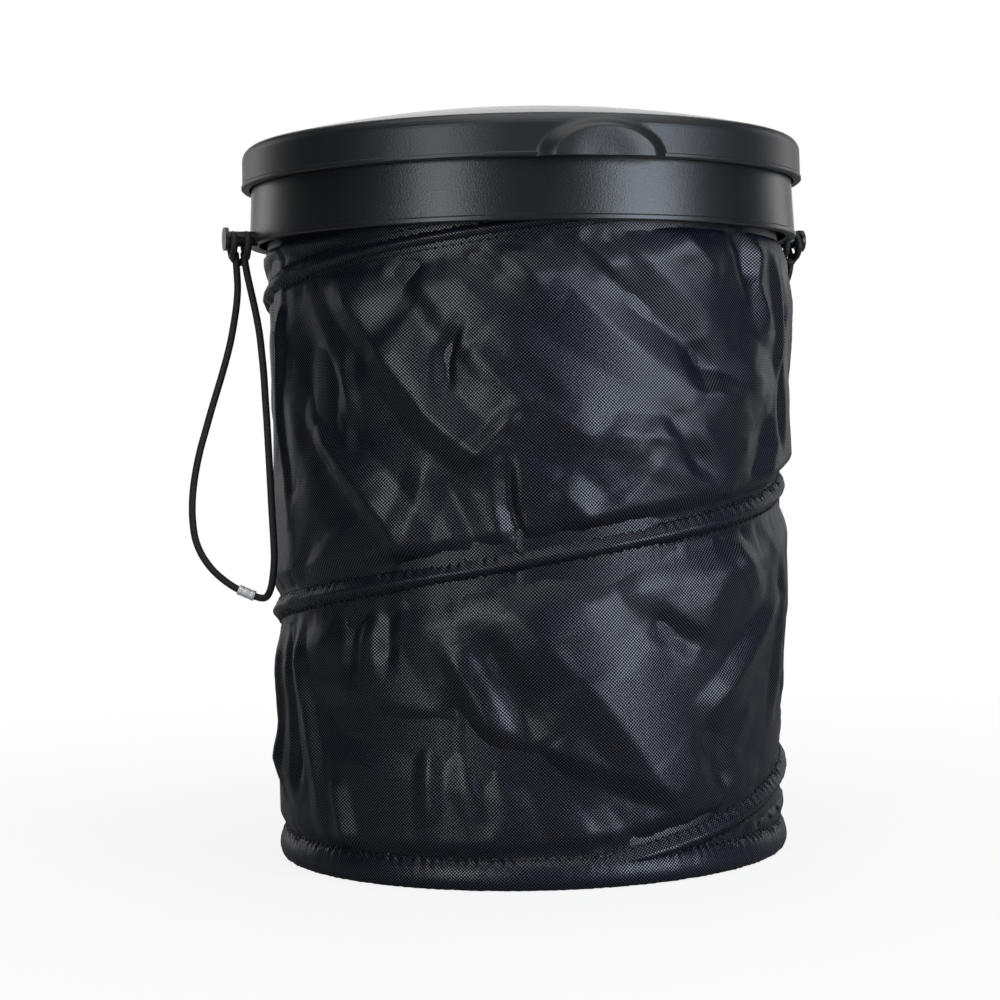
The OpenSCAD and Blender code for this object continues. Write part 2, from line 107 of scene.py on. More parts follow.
# The lid's skirt, its half-moon thumb tab and its rounded shoulder as the part's source gives
# them, in millimetres. A bead stands out of the skirt's edge, which laps over the collar.
EDGE_BEAD = 0.35
SKIRT_LAP = 7.5
LID_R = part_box("lid")[1].x / MM - EDGE_BEAD
SKIRT_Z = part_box("collar")[1].z / MM - SKIRT_LAP
TAB_HALF_W = 16.0
TAB_H = 9.0
TAB_OUT = 3.2
SHOULDER_R = 3.6
SHOULDER_UP = 8.2

# The lug's bar that a cord is knotted on, in millimetres: the height of its middle, half its
# thickness and half its width; the room between it and the cord, and how far in from the
# lug's end each turn of the cord lies
LUG_BAR_Z = COLLAR_LOW_Z + 1.3
LUG_HALF_T = 2.1
LUG_HALF_W = 3.0
KNOT_ROOM = 0.1
KNOT_INSETS = (6.2, 2.3)

# The ferrule, in millimetres, and its rounded edge: along the sleeve and down its side
FERRULE_LENGTH = 5.0
FERRULE_PLAY = 0.05
FERRULE_WALL = 0.4
FERRULE_EDGE = (0.15, 0.12)

# The studio, in metres
SENSOR_WIDTH = 36
AIM_HEIGHT = 0.11
STAGE_REACH = 8.0

STEEL = (0.5, 0.51, 0.52)
FERRULE_METAL = (0.93, 0.93, 0.94)
WHITE = (1, 1, 1)

# Routes of the cord loops as the part's source gives them: millimetres from the bin's axis,
# sideways towards the front, and up
LEFT_ROUTE = (
    (83.2, 0, 170), (83, 0, 166), (82.8, 0, 161), (83.2, 0, 156), (84, 0, 151), (85, 0, 146),
    (86.3, 0, 141), (87.8, 0, 136), (89.4, 0, 131), (91, 0, 126), (92.5, 0, 121),
    (94, 0, 116), (95.2, 0, 111), (96.1, 0, 106), (96.6, 0, 101), (96.6, 0, 96),
    (96, 0.2, 91), (94.4, 0.4, 86.6), (91.8, 0.8, 82.6), (88.6, 1.2, 79.4), (84.8, 1.8, 76.7),
    (79.8, 2.8, 74.4), (77.4, 4.8, 74.2), (76.3, 7, 76.6), (75.8, 8.6, 80.4), (75.5, 9.4, 85),
    (75.6, 9.6, 90), (75.8, 9.6, 95), (76, 9.6, 100), (76.2, 9.6, 106), (76.4, 9.5, 112),
    (76.6, 9.3, 118), (76.8, 9, 124), (77, 8.4, 130), (77.1, 7.4, 136), (77.3, 5.8, 142),
    (77.6, 4, 148), (78.3, 2.2, 154), (79.3, 0.9, 160), (80.2, 0.2, 165), (80.9, 0, 170),
)
RIGHT_ROUTE = (
    (83.2, 0, 170), (82.6, -0.4, 165), (81, -1.4, 160), (79.4, -3, 155), (78.2, -5, 150),
    (77.4, -7.2, 145), (76.9, -9, 140), (76.5, -10.4, 135), (76.2, -11.4, 130),
    (76, -12, 124), (75.8, -12.4, 118), (75.7, -12.6, 112), (75.6, -12.8, 106),
    (75.4, -13, 100), (75.3, -13, 94), (75.2, -13, 88), (75.2, -12.9, 82), (75.2, -12.6, 77),
    (75.6, -11.2, 71.4), (76, -8.6, 67.4), (76.5, -3.2, 66), (76.6, -0.4, 67.8),
    (76.5, 0.9, 71.2), (76.3, 1.4, 76), (75.9, 1.6, 82), (76, 1.6, 88),
    (76.2, 1.6, 94), (76.3, 1.6, 100), (76.5, 1.6, 106), (76.6, 1.6, 112), (76.8, 1.6, 118),
    (77, 1.6, 124), (77.1, 1.6, 130), (77.3, 1.5, 136), (77.5, 1.4, 142), (77.8, 1.2, 148),
    (78.4, 0.9, 154), (79.2, 0.5, 160), (80.1, 0.2, 165), (80.9, 0, 170),
)
# Each loop: its side of the bin, its route, and the route's point where its ferrule begins
LOOPS = {"left": (-1, LEFT_ROUTE, 20), "right": (1, RIGHT_ROUTE, 19)}

# A fold fades out over this share of its line at each end, but never wholly
FOLD_FADE = 0.22
FOLD_LEAST = 0.12

# Folds of the cloth. Each has its height in mm, inwards where negative, the width in mm of its
# flank on the left hand and on the right hand as one walks along it, and the points of its
# line: degrees round from the coil's start, and mm above the floor
FOLDS = (
    (3.0, 15, 7, ((-44, 164), (-20, 124), (-4, 107))),
    (-2.2, 9, 18, ((-58, 152), (-44, 122), (-38, 108))),
    (-1.0, 6, 9, ((-27, 158), (-16, 138), (-11, 124))),
    (-1.3, 1.8, 3.5, ((-13, 147), (-16, 138), (-15.5, 129))),
    (2.4, 16, 10, ((-12, 142), (-2, 129), (15, 115))),
    (1.6, 3, 4, ((-1, 125), (-8, 114), (-12, 112))),
    (-2.2, 2.2, 4, ((-4, 112), (-3.5, 100), (-1, 88))),
    (-2.4, 10, 9, ((8, 171), (23, 152), (38, 138))),
    (-1.5, 5, 5, ((36, 142), (39, 134), (39, 127))),
    (1.8, 6, 9, ((34, 130), (48, 127), (60, 128))),
    (1.2, 6, 6, ((14, 118), (37, 116))),
    (-2.2, 6, 5, ((50, 173), (55, 157))),
    (1.6, 5, 5, ((59, 172), (57, 158), (61, 144))),
    (1.5, 6, 6, ((-6, 172), (4, 155))),
    (-1.2, 5, 5, ((-14, 172), (-6, 157))),
    (1.5, 5, 6, ((9, 173), (20, 158))),
    (1.4, 6, 6, ((33, 172), (44, 158))),
    (2.6, 9, 5, ((-51, 123), (-40, 110), (-30, 96), (-24, 84))),
    (1.1, 4, 4, ((-41, 141), (-39, 122))),
    (1.2, 6, 6, ((-20, 112), (-26, 88))),
    (-1.2, 5, 5, ((-17, 108), (-10, 88))),
    (1.6, 7, 6, ((5, 105), (16, 92))),
    (-1.8, 7, 7, ((64, 123), (54, 104))),
    (3.0, 22, 14, ((-6, 76), (14, 49), (34, 15))),
    (-1.5, 6, 5, ((-11, 68), (-4, 52), (1, 38))),
    (1.6, 5, 4, ((-17, 63), (-6, 38))),
    (-1.9, 6, 12, ((-53, 46), (-36, 43), (-20, 40), (-6, 35))),
    (-1.8, 5, 11, ((-6, 36), (8, 29), (31, 18))),
    (-1.3, 3, 4, ((-17, 50), (-13, 39))),
    (1.7, 5, 5, ((-47, 28), (-43, 8))),
    (1.2, 4, 4, ((-22, 39), (-22, 16))),
    (-0.9, 4, 4, ((-12, 36), (-9, 13))),
    (0.9, 4, 6, ((-15, 34), (-7, 9))),
    (1.9, 8, 6, ((70, 74), (52, 56), (38, 41))),
    (-1.7, 6, 6, ((38, 40), (47, 22))),
    (1.8, 4, 5, ((-62, 70), (-56, 42), (-50, 13))),
    (-1.5, 4, 4, ((-40, 73), (-41, 55))),
    (-1.3, 3, 4, ((-31, 73), (-31, 58))),
    (1.3, 5, 5, ((49, 88), (58, 74))),
    (1.4, 6, 6, ((5, 40), (16, 22))),
    (-1.1, 5, 5, ((26, 70), (38, 60))),
    (1.4, 3, 4, ((-66, 166), (-69, 125), (-64, 96))),
    (-1.4, 3, 4, ((-76, 162), (-73, 110))),
    (1.5, 3, 4, ((-74, 62), (-71, 20))),
    (-1.5, 3, 3, ((-67, 66), (-61, 22))),
    (1.7, 3, 4, ((66, 166), (71, 130))),
    (-1.7, 3, 4, ((74, 152), (70, 112))),
    (1.4, 4, 4, ((73, 82), (66, 40))),
    (-1.4, 4, 4, ((80, 70), (76, 36))),
    (2.2, 10, 8, ((90, 164), (101, 124))),
    (-2.4, 9, 11, ((112, 100), (92, 62))),
    (-2.0, 8, 10, ((128, 166), (150, 140))),
    (2.2, 12, 8, ((146, 130), (178, 112))),
    (2.6, 12, 7, ((150, 96), (190, 60))),
    (-2.2, 10, 8, ((140, 62), (152, 30))),
    (-2.4, 9, 12, ((188, 160), (206, 128))),
    (2.2, 11, 7, ((205, 108), (228, 84))),
    (2.4, 11, 7, ((196, 44), (236, 18))),
    (2.0, 8, 10, ((228, 168), (246, 136))),
    (-2.2, 10, 8, ((232, 62), (262, 44))),
    (2.0, 8, 5, ((170, 168), (184, 140))),
    (-1.8, 6, 6, ((118, 42), (128, 14))),
    (1.8, 9, 6, ((214, 160), (226, 140))),
    (-1.8, 7, 7, ((176, 44), (182, 18))),
)


def share_at(index):
    """Height share of the coil at a quarter turn."""
    return np.array(COIL_SHARES)[np.clip(index, 0, len(COIL_SHARES) - 1)]


def glide(a, b, c, d, t):
    """A smooth way from b to c as t goes from 0 to 1. Their neighbours are a and d."""
    return (2 * b + (c - a) * t + (2 * a - 5 * b + 4 * c - d) * t ** 2
            + (3 * b - a - 3 * c + d) * t ** 3) / 2


def coil_z(angle):
    """Height in mm of the coil's middle line, by a smooth curve through its quarter turns."""
    angle = np.asarray(angle, float)
    quarter = np.floor(angle / 90).astype(int)
    share = glide(*(share_at(quarter + k) for k in (-1, 0, 1, 2)), angle / 90 - quarter)
    return LOW_HOOP_Z + (TOP_HOOP_Z - LOW_HOOP_Z) * share


def ease(x):
    """Smooth rise from 0 to 1."""
    t = np.clip(x, 0, 1)
    return t * t * (3 - 2 * t)


def sink(angle):
    """How deep in mm the coil lies in the cloth where it runs up behind the collar."""
    return SINK_DEPTH * ease((angle - SINK_BEGIN) / SINK_RUN)


def seat_r(z):
    """Radius in mm of the cloth where it is sewn down."""
    low = LOW_HOOP_R - WIRE_OUT
    high = TOP_HOOP_R - WIRE_OUT
    return low + (high - low) * np.clip(np.asarray(z) / BAG_H, 0, 1)


def around(angle, radius, z):
    """Points in metres from degrees past the coil's start, mm from the axis and mm up."""
    turn = np.radians(COIL_START + np.asarray(angle, float))
    parts = np.broadcast_arrays(radius * np.cos(turn), radius * np.sin(turn), z)
    return np.stack(parts, axis=-1) * MM


def channel_gap(angle, z):
    """Distance in mm to the nearest hoop or turn of the coil, above it or below it (negative)."""
    turn = angle % 360
    lines = (LOW_HOOP_Z, GRIP_Z, coil_z(turn), coil_z(turn + 360), coil_z(turn + 720))
    gaps = np.stack([z - line for line in lines])
    nearest = np.argmin(np.abs(gaps), axis=0)
    return np.take_along_axis(gaps, nearest[None], axis=0)[0]


def fold_height(angle, z, fold):
    """Height in mm that one fold adds at each point of the cloth."""
    height, left, right, line = fold
    arc = seat_r(BAG_H) * math.pi / 180
    around_mm = ((angle - line[0][0] + 180) % 360 - 180) * arc
    reach = np.zeros_like(z)
    steps = [np.hypot((b[0] - a[0]) * arc, b[1] - a[1]) for a, b in zip(line, line[1:])]
    walked = 0.0
    for (start, end), step in zip(zip(line, line[1:]), steps):
        du, dz = (end[0] - start[0]) * arc / step, (end[1] - start[1]) / step
        u, v = around_mm - (start[0] - line[0][0]) * arc, z - start[1]
        along = np.clip(u * du + v * dz, 0, step)
        off_u, off_v = u - along * du, v - along * dz
        far = np.hypot(off_u, off_v)
        side = (du * off_v - dz * off_u) / np.maximum(far, 1e-6)
        width = right + (left - right) * (side + 1) / 2
        crest = np.sqrt(far ** 2 + CREST ** 2) - CREST
        place = (walked + along) / sum(steps)
        fade = np.sqrt(np.clip(np.minimum(place, 1 - place) / FOLD_FADE, FOLD_LEAST, 1))
        reach = np.maximum(reach, fade * np.clip(1 - crest / width, 0, 1))
        walked += step
    return height * reach


def small_folds(count, seed):
    """Short creases spread over the whole bag, always the same for one seed."""
    draw = np.random.RandomState(seed)
    made = []
    for _ in range(count):
        angle, z = draw.uniform(0, 360), draw.uniform(4, BAG_H - 2)
        slant = math.radians(draw.choice([-1, 1]) * draw.uniform(20, 80))
        length = draw.uniform(14, 42)
        du, dz = length * math.cos(slant) / seat_r(z) * 180 / math.pi, length * math.sin(slant)
        bend = draw.uniform(-1.5, 1.5)
        height = draw.choice([-1, 1]) * draw.uniform(0.3, 1.0)
        widths = draw.uniform(3, 13, 2)
        line = ((angle, z), (angle + du / 2 + bend, z + dz / 2), (angle + du, z + dz))
        made.append((height, widths[0], widths[1], line))
    return made


def waves(angle, seed, longest, octaves=3):
    """Smooth wandering between about -1 and 1 round the bag. Its longest wave is in degrees."""
    draw = np.random.RandomState(seed)
    total = 0
    for octave in range(octaves):
        for _ in range(3):
            count = round(360 / longest * 1.9 ** octave * draw.uniform(0.7, 1.3))
            turn = draw.uniform(0, 360)
            total = total + np.sin(np.radians(angle * count + turn)) / 1.7 ** octave
    return total / 4


def lean(angle, z):
    """How far in mm the bag leans out of round: to the right high up, and in at its foot."""
    high = np.exp(-((z - 128) / 42) ** 2)
    low = np.exp(-((z - 28) / 26) ** 2)
    side = np.sin(np.radians(angle))
    return 1.6 * high * side - low * (0.8 + 0.4 * side)


def cloth_r(angle, z, cloth):
    """Radius in mm of the bag's outside. Above a seam it puffs out fast, and below the next one
    more slowly."""
    signed = channel_gap(angle, z)
    gap = np.abs(signed)
    out_of_seam = gap - CHANNEL_HALF
    free = ease(out_of_seam / np.where(signed > 0, 5.5, 11))
    loose = ease((out_of_seam - 0.1) / np.where(signed > 0, 3.5, 4.5))
    shape = sum(fold_height(angle, z, fold) for fold in FOLDS)
    crumple = sum(fold_height(angle, z, fold) for fold in small_folds(cloth.crumples, 11))
    gathers = waves(angle, 5, 6.5) * np.exp(-np.abs(gap - 5) / 3) * ease(out_of_seam / 1.6)
    swell = 0.3 * waves(angle, 8, 90, 2) * np.cos(z / 21)
    swell = swell + 0.2 * waves(angle, 9, 60, 2) * np.sin(z / 15)
    added = (cloth.puff / MM * free + cloth.gather / MM * gathers + (swell + lean(angle, z)) * free
             + loose * (cloth.fold_gain * shape + cloth.crumple_gain * crumple))
    return seat_r(z) + np.where(z < COLLAR_LOW_Z + 1, added, 0)


def put(name, data):
    """A new object in the scene."""
    made = bpy.data.objects.new(name, data)
    bpy.context.scene.collection.objects.link(made)
    return made


def mesh_object(name, points, quads, uvs, caps=()):
    """A smooth mesh from arrays of points, four-sided faces and their corners' UVs."""
    mesh = bpy.data.meshes.new(name)
    corners = np.concatenate([quads.ravel(), *[np.asarray(c) for c in caps]]).astype(np.int32)
    counts = np.concatenate([np.full(len(quads), 4), [len(c) for c in caps]]).astype(np.int32)
    mesh.vertices.add(len(points))
    mesh.vertices.foreach_set("co", np.asarray(points, np.float32).ravel())
    mesh.loops.add(len(corners))
    mesh.loops.foreach_set("vertex_index", corners)
    mesh.polygons.add(len(counts))
    starts = np.concatenate([[0], np.cumsum(counts)[:-1]]).astype(np.int32)
    mesh.polygons.foreach_set("loop_start", starts)
    mesh.polygons.foreach_set("use_smooth", np.ones(len(counts), bool))
    layer = mesh.uv_layers.new(name="UVMap")
    pads = [np.zeros((len(c), 2)) for c in caps]
    corner_uvs = np.concatenate([uvs.reshape(-1, 2), *pads]).astype(np.float32)
    layer.data.foreach_set("uv", corner_uvs.ravel())
    mesh.update(calc_edges=True)
    mesh.validate()
    return put(name, mesh)


def loft(name, rings, across, along, closed=False, caps=False):
    """Joins rings of points, each closed on itself. across and along are the UVs, one longer
    than the points where the rings close. Caps fill the two ends."""
    count, sides = rings.shape[:2]
    i = np.arange(count if closed else count - 1)[:, None]
    j = np.arange(sides)[None, :]
    i2, j2 = (i + 1) % count, (j + 1) % sides
    quads = np.stack(np.broadcast_arrays(i * sides + j, i * sides + j2, i2 * sides + j2,
                                         i2 * sides + j), -1).reshape(-1, 4)
    u, v = np.asarray(across, float), np.asarray(along, float)
    corners = [(j, i), (j + 1, i), (j + 1, i + 1), (j, i + 1)]
    uvs = np.stack([np.stack(np.broadcast_arrays(u[a], v[b]), -1) for a, b in corners], -2)
    ends = []
    if caps:
        last = (count - 1) * sides
        ends = [np.arange(sides)[::-1], last + np.arange(sides)]
    return mesh_object(name, rings.reshape(-1, 3), quads, uvs, ends)


def smooth_path(points, spacing):
    """Points about spacing apart on a smooth curve through the given ones."""
    given = np.asarray(points, float)
    padded = np.concatenate([[2 * given[0] - given[1]], given, [2 * given[-1] - given[-2]]])
    made = []
    for k in range(1, len(padded) - 2):
        steps = max(2, int(round(np.linalg.norm(padded[k + 1] - padded[k]) / spacing)))
        made.append(glide(*padded[k - 1:k + 3], (np.arange(steps) / steps)[:, None]))
    return np.concatenate([*made, given[-1:]])


def lengths_along(path):
    """Length walked at each point of a path."""
    return np.concatenate([[0], np.cumsum(np.linalg.norm(np.diff(path, axis=0), axis=1))])


def circle(side, other, sides):
    """Points on a circle of radius 1 that runs from one direction to the other."""
    turn = np.linspace(0, 2 * math.pi, sides, endpoint=False)
    return np.outer(np.cos(turn), side) + np.outer(np.sin(turn), other)


def tube(name, path, radius, sides):
    """A round tube with domed ends along a path in metres. Its UV is metres around and along."""
    path = np.asarray(path, float)
    ahead = np.gradient(path, axis=0)
    ahead /= np.linalg.norm(ahead, axis=1)[:, None]
    side = np.cross(ahead[0], (0.3, 0.9, 0.1))
    rings, along = [], []
    walked = lengths_along(path)
    for k, (point, t) in enumerate(zip(path, ahead)):
        side = side - t * (side @ t)
        side /= np.linalg.norm(side)
        ring = circle(side, np.cross(t, side), sides)
        if 0 < k < len(path) - 1:
            rings.append(point + radius * ring)
            along.append(walked[k])
            continue
        way, tilts = (-t, (80, 55, 28, 0)) if k == 0 else (t, (0, 28, 55, 80))
        for tilt in map(math.radians, tilts):
            rings.append(point + way * radius * math.sin(tilt) + radius * math.cos(tilt) * ring)
            along.append(walked[k])
    across = np.linspace(0, 2 * math.pi * radius, sides + 1)
    return loft(name, np.array(rings), across, along, caps=True)


# Materials


class Wire:
    """An output of a node. Python's operators on it add Math nodes."""

    def __init__(self, nodes, socket):
        self.nodes = nodes
        self.socket = socket

    def math(self, operation, *values):
        """The result of a Math node on numbers or on other wires."""
        return self.nodes.node("ShaderNodeMath", {"operation": operation}, dict(enumerate(values)))

    def __add__(self, other):
        return self.math("ADD", self, other)

    def __mul__(self, other):
        return self.math("MULTIPLY", self, other)

    def __sub__(self, other):
        return self.math("SUBTRACT", self, other)

    def __rsub__(self, other):
        return self.math("SUBTRACT", other, self)

    __radd__ = __add__
    __rmul__ = __mul__

    def sine(self):
        return self.math("SINE", self)

    def beside(self, output):
        """Another output of the same node."""
        return Wire(self.nodes, self.socket.node.outputs[output])


class Nodes:
    """A tree of nodes under construction."""

    def __init__(self, tree):
        self.tree = tree
        self.tree.nodes.clear()

    def node(self, kind, settings=None, values=None, output=0):
        """Makes any node: its settings first, then the values or links of its sockets. What
        comes back is the output named, where the node has outputs."""
        made = self.tree.nodes.new(kind)
        for name, value in (settings or {}).items():
            setattr(made, name, value)
        for name, value in (values or {}).items():
            if isinstance(value, Wire):
                self.tree.links.new(value.socket, made.inputs[name])
            else:
                made.inputs[name].default_value = value
        return Wire(self, made.outputs[output]) if made.outputs else None


class Paint(Nodes):
    """The nodes of a material, or of the world."""

    def __init__(self, owner):
        owner.use_nodes = True
        super().__init__(owner.node_tree)
        self.owner = owner

    def place(self):
        """The piece's own coordinates, in metres."""
        return self.node("ShaderNodeTexCoord", output="Object")

    def flat_place(self):
        """The piece's UV, also in metres, as two numbers."""
        both = self.node("ShaderNodeUVMap", {"uv_map": "UVMap"})
        split = self.node("ShaderNodeSeparateXYZ", values={0: both})
        return split, split.beside("Y")

    def rays(self):
        """Whether a ray comes straight from the camera, off a gloss or through glass."""
        camera = self.node("ShaderNodeLightPath", output="Is Camera Ray")
        return camera, camera.beside("Is Glossy Ray"), camera.beside("Is Transmission Ray")

    def noise(self, size, detail=2.0):
        """Noise with spots of about that size in metres, from 0 to 1."""
        return self.node("ShaderNodeTexNoise", values={
            "Vector": self.place(), "Scale": 0.5 / size, "Detail": detail})

    def fade(self, value, low, high, start=0.0):
        """A smooth rise from start to 1 as the value goes from low to high."""
        return self.node("ShaderNodeMapRange", {"interpolation_type": "SMOOTHSTEP"}, {
            "Value": value, "From Min": low, "From Max": high, "To Min": start})

    def mix(self, factor, first, second):
        """A colour between two others."""
        return self.node("ShaderNodeMix", {"data_type": "RGBA"},
                         {"Factor": factor, 6: first, 7: second}, output=2)

    def bump(self, height, depth, strength=1.0):
        """Relief on the surface, its depth in metres."""
        return self.node("ShaderNodeBump", values={
            "Height": height, "Distance": depth, "Strength": strength})

    def finish(self, **values):
        """Ends the material in one Principled shader."""
        names = {key.replace("_", " ").title().replace("Ior", "IOR"): value
                 for key, value in values.items()}
        return self.end(self.node("ShaderNodeBsdfPrincipled", values=names))

    def end(self, shader, kind="ShaderNodeOutputMaterial"):
        """Leads a shader to the output."""
        self.node(kind, values={"Surface": shader})
        return self.owner


def new_paint(name):
    """The paint of a new material."""
    return Paint(bpy.data.materials.new(name))


def rgba(colour, gain=1.0):
    """A colour property as the four numbers of a socket."""
    return (colour[0] * gain, colour[1] * gain, colour[2] * gain, 1.0)


def moulded_plastic(name, plastic, gain=1.0, duller=0.0):
    """Satin black plastic with the fine spark texture of its mould."""
    paint = new_paint(name)
    grain = paint.noise(plastic.grain, 2.0)
    broad = paint.noise(0.03, 3.0)
    colour = paint.mix(broad, rgba(plastic.colour, gain * 0.8), rgba(plastic.colour, gain * 1.25))
    rough = plastic.roughness + duller - 0.07 + 0.08 * broad
    return paint.finish(base_color=colour, roughness=rough,
                        normal=paint.bump(grain, plastic.grain_depth), specular_ior_level=0.5)


def woven_cloth(name, cloth, gain=1.0, sheen=0.02):
    """Coated nylon in plain weave. Its coating shines on the crowns of the threads alone, and its
    colour is painted lighter on the crowns as a painted highlight and darker between the threads
    as painted shade.
    """
    paint = new_paint(name)
    across, along = paint.flat_place()
    pace = math.pi / cloth.thread
    weave = (across * pace).sine() * (along * pace).sine()
    lift = 0.5 + 0.5 * weave
    mottle = paint.noise(0.012, 3.0)
    # The weave's pattern is painted into the colour: its crowns much lighter as a painted
    # highlight, the hollows between the threads much darker as painted shade.
    colour = paint.mix(lift, rgba(cloth.colour, gain * 0.1), rgba(cloth.colour, gain * 2.4))
    rough = cloth.roughness + 0.1 * mottle - 0.06 * lift
    crumple = paint.node("ShaderNodeTexVoronoi", {"feature": "F2"}, {
        "Vector": paint.place(), "Scale": 70.0, "Detail": 1.0, "Roughness": 0.5})
    slubs = paint.noise(0.0018, 1.0)
    height = 0.05 * lift + 0.2 * crumple + 0.04 * slubs
    return paint.finish(base_color=colour, roughness=rough, normal=paint.bump(height, 0.001),
                        coat_weight=paint.fade(lift, 0.42, 0.88), coat_ior=1.9,
                        coat_roughness=cloth.roughness, coat_tint=(0.85, 0.9, 1, 1),
                        sheen_weight=sheen, sheen_roughness=0.4, specular_ior_level=0.05)


def braided_cord(name, cord):
    """Round braid: two sets of strands that cross on the tube."""
    paint = new_paint(name)
    across, along = paint.flat_place()
    turn = across * (6 / cord.diameter * 0.5)
    pace = along * (2 * math.pi / cord.braid)
    strands = (turn + pace).sine() * (turn - pace).sine()
    lift = 0.5 + 0.5 * strands
    # The braid's pattern is painted into the colour: its strands lighter on their crowns as a
    # painted highlight, darker in the grooves between them as painted shade.
    colour = paint.mix(lift, rgba(cord.colour, 0.5), rgba(cord.colour, 2.0))
    return paint.finish(base_color=colour, roughness=0.62, sheen_weight=0.06,
                        normal=paint.bump(lift, 0.00018, 0.8))


def bright_metal(name, colour, roughness):
    """Drawn or crimped metal with fine scratches."""
    paint = new_paint(name)
    scratches = paint.noise(0.0006, 4.0)
    worn = paint.noise(0.008, 3.0)
    tone = paint.mix(worn, rgba(colour, 0.8), rgba(colour, 1.05))
    return paint.finish(base_color=tone, metallic=1.0, roughness=roughness + 0.12 * worn,
                        normal=paint.bump(scratches, 0.00002, 0.3))


def thread_finish(name, cloth):
    """Twisted sewing thread."""
    paint = new_paint(name)
    twist = paint.noise(0.0004, 2.0)
    colour = paint.mix(twist, rgba(cloth.colour, 0.1), rgba(cloth.colour, 0.5))
    return paint.finish(base_color=colour, roughness=0.6, normal=paint.bump(twist, 0.00008, 0.6))


def paint_node(name, material):
    """Gives a CAD node that stays its material."""
    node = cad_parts[name]
    for place in node.material_slots:
        place.material = material
    if not node.material_slots:
        node.data.materials.append(material)


def dress(piece, material, body, slot, *replaced):
    """Sets a finished piece's material and body, and hides the nodes that it stands for. Its
    record slot is not used.
    """
    piece.data.materials.clear()
    piece.data.materials.append(material)
    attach(piece, body)
    if replaced:
        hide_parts(*replaced)
    return piece


def press_flat(piece):
    """Gives a piece of the bag its own copy of its mesh."""
    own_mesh(piece)


# Settings that a user would change


class StudioSettings(bpy.types.PropertyGroup):
    """Where the photograph is taken from, and its light."""

    azimuth: FloatProperty(
        name="View azimuth", description="Turn of the camera round the bin, seen from above",
        default=math.radians(-15.5), subtype="ANGLE")
    distance: FloatProperty(
        name="Camera distance", description="From the bin's axis to the camera",
        default=0.675, unit="LENGTH")
    height: FloatProperty(
        name="Camera height", description="Height of the lens above the floor",
        default=0.118, unit="LENGTH")
    lens: FloatProperty(
        name="Focal length", description="Focal length on a 36 mm sensor",
        default=84.08)
    roll: FloatProperty(
        name="Roll", description="Turn of the camera about its own axis",
        default=math.radians(-1.1), subtype="ANGLE")
    axis_across: FloatProperty(
        name="Axis in the frame", description="How far right of the middle the bin's axis stands",
        default=0.026)
    horizon_up: FloatProperty(
        name="Horizon in the frame", description="How far above the middle the horizon lies",
        default=0.065)
    key: FloatProperty(
        name="Right softbox", description="Power of the softbox at the front right",
        default=11.4, unit="POWER")
    fill: FloatProperty(
        name="Left softbox", description="Power of the softbox at the front left",
        default=5.3, unit="POWER")
    edge: FloatProperty(
        name="Edge softboxes", description="Power of each of the two boxes behind the bin's sides",
        default=1.2, unit="POWER")
    rear: FloatProperty(
        name="Rear softbox", description="Power of the softbox behind the bin",
        default=4.0, unit="POWER")
    brow: FloatProperty(
        name="Brow softbox", description="Power of the long softbox high in front",
        default=1.6, unit="POWER")
    top: FloatProperty(
        name="Top softbox", description="Power of the softbox above the bin",
        default=9.0, unit="POWER")


class ClothSettings(bpy.types.PropertyGroup):
    """The bag's cloth."""

    colour: FloatVectorProperty(
        name="Cloth colour", description="Colour of the coated nylon",
        subtype="COLOR", size=3, default=(0.0044, 0.0052, 0.0098), min=0, max=1)
    roughness: FloatProperty(
        name="Roughness", description="How broad the cloth's sheen is", default=0.4)
    thread: FloatProperty(
        name="Thread pitch", description="Distance between threads of the weave",
        default=0.44 * MM, unit="LENGTH")
    puff: FloatProperty(
        name="Puff", description="How far the cloth stands out between the turns of the coil",
        default=2.3 * MM, unit="LENGTH")
    gather: FloatProperty(
        name="Gathers", description="Depth of the gathers along the seams",
        default=0.32 * MM, unit="LENGTH")
    fold_gain: FloatProperty(
        name="Folds", description="Strength of the large folds", default=1.1)
    crumple_gain: FloatProperty(
        name="Crumples", description="Strength of the small creases", default=1.0)
    crumples: IntProperty(
        name="Crumple count", description="Number of small creases", default=170)


class SewingSettings(bpy.types.PropertyGroup):
    """The stitches along the coil's channel and the foot."""

    pitch: FloatProperty(
        name="Stitch pitch", description="From one stitch to the next",
        default=STITCH_PITCH * MM, unit="LENGTH")
    length: FloatProperty(
        name="Stitch length", description="Length of one stitch of thread",
        default=1.7 * MM, unit="LENGTH")
    thickness: FloatProperty(
        name="Thread thickness", description="Diameter of the sewing thread",
        default=0.5 * MM, unit="LENGTH")
    row: FloatProperty(
        name="Row distance", description="From the middle of the channel to each stitch row",
        default=3.0 * MM, unit="LENGTH")


class CordSettings(bpy.types.PropertyGroup):
    """The elastic cord."""

    diameter: FloatProperty(
        name="Diameter", description="Diameter of the elastic cord",
        default=2 * MM, unit="LENGTH")
    braid: FloatProperty(
        name="Braid pitch", description="Length of one crossing of the braid",
        default=1.5 * MM, unit="LENGTH")
    colour: FloatVectorProperty(
        name="Cord colour", description="Colour of the braid",
        subtype="COLOR", size=3, default=(0.004, 0.0042, 0.005), min=0, max=1)


class PlasticSettings(bpy.types.PropertyGroup):
    """The moulded lid and collar."""

    colour: FloatVectorProperty(
        name="Plastic colour", description="Colour of the lid and the collar",
        subtype="COLOR", size=3, default=(0.0125, 0.013, 0.0145), min=0, max=1)
    roughness: FloatProperty(
        name="Roughness", description="How broad the plastic's highlights are", default=0.35)
    grain: FloatProperty(
        name="Grain", description="Size of the mould's fine texture",
        default=0.26 * MM, unit="LENGTH")
    grain_depth: FloatProperty(
        name="Grain depth", description="Depth of the mould's fine texture",
        default=0.05 * MM, unit="LENGTH")
    tab_dip: FloatProperty(
        name="Tab dip", description="Depth of the soft hollow in the thumb tab's face",
        default=0.5 * MM, unit="LENGTH")


# The pieces


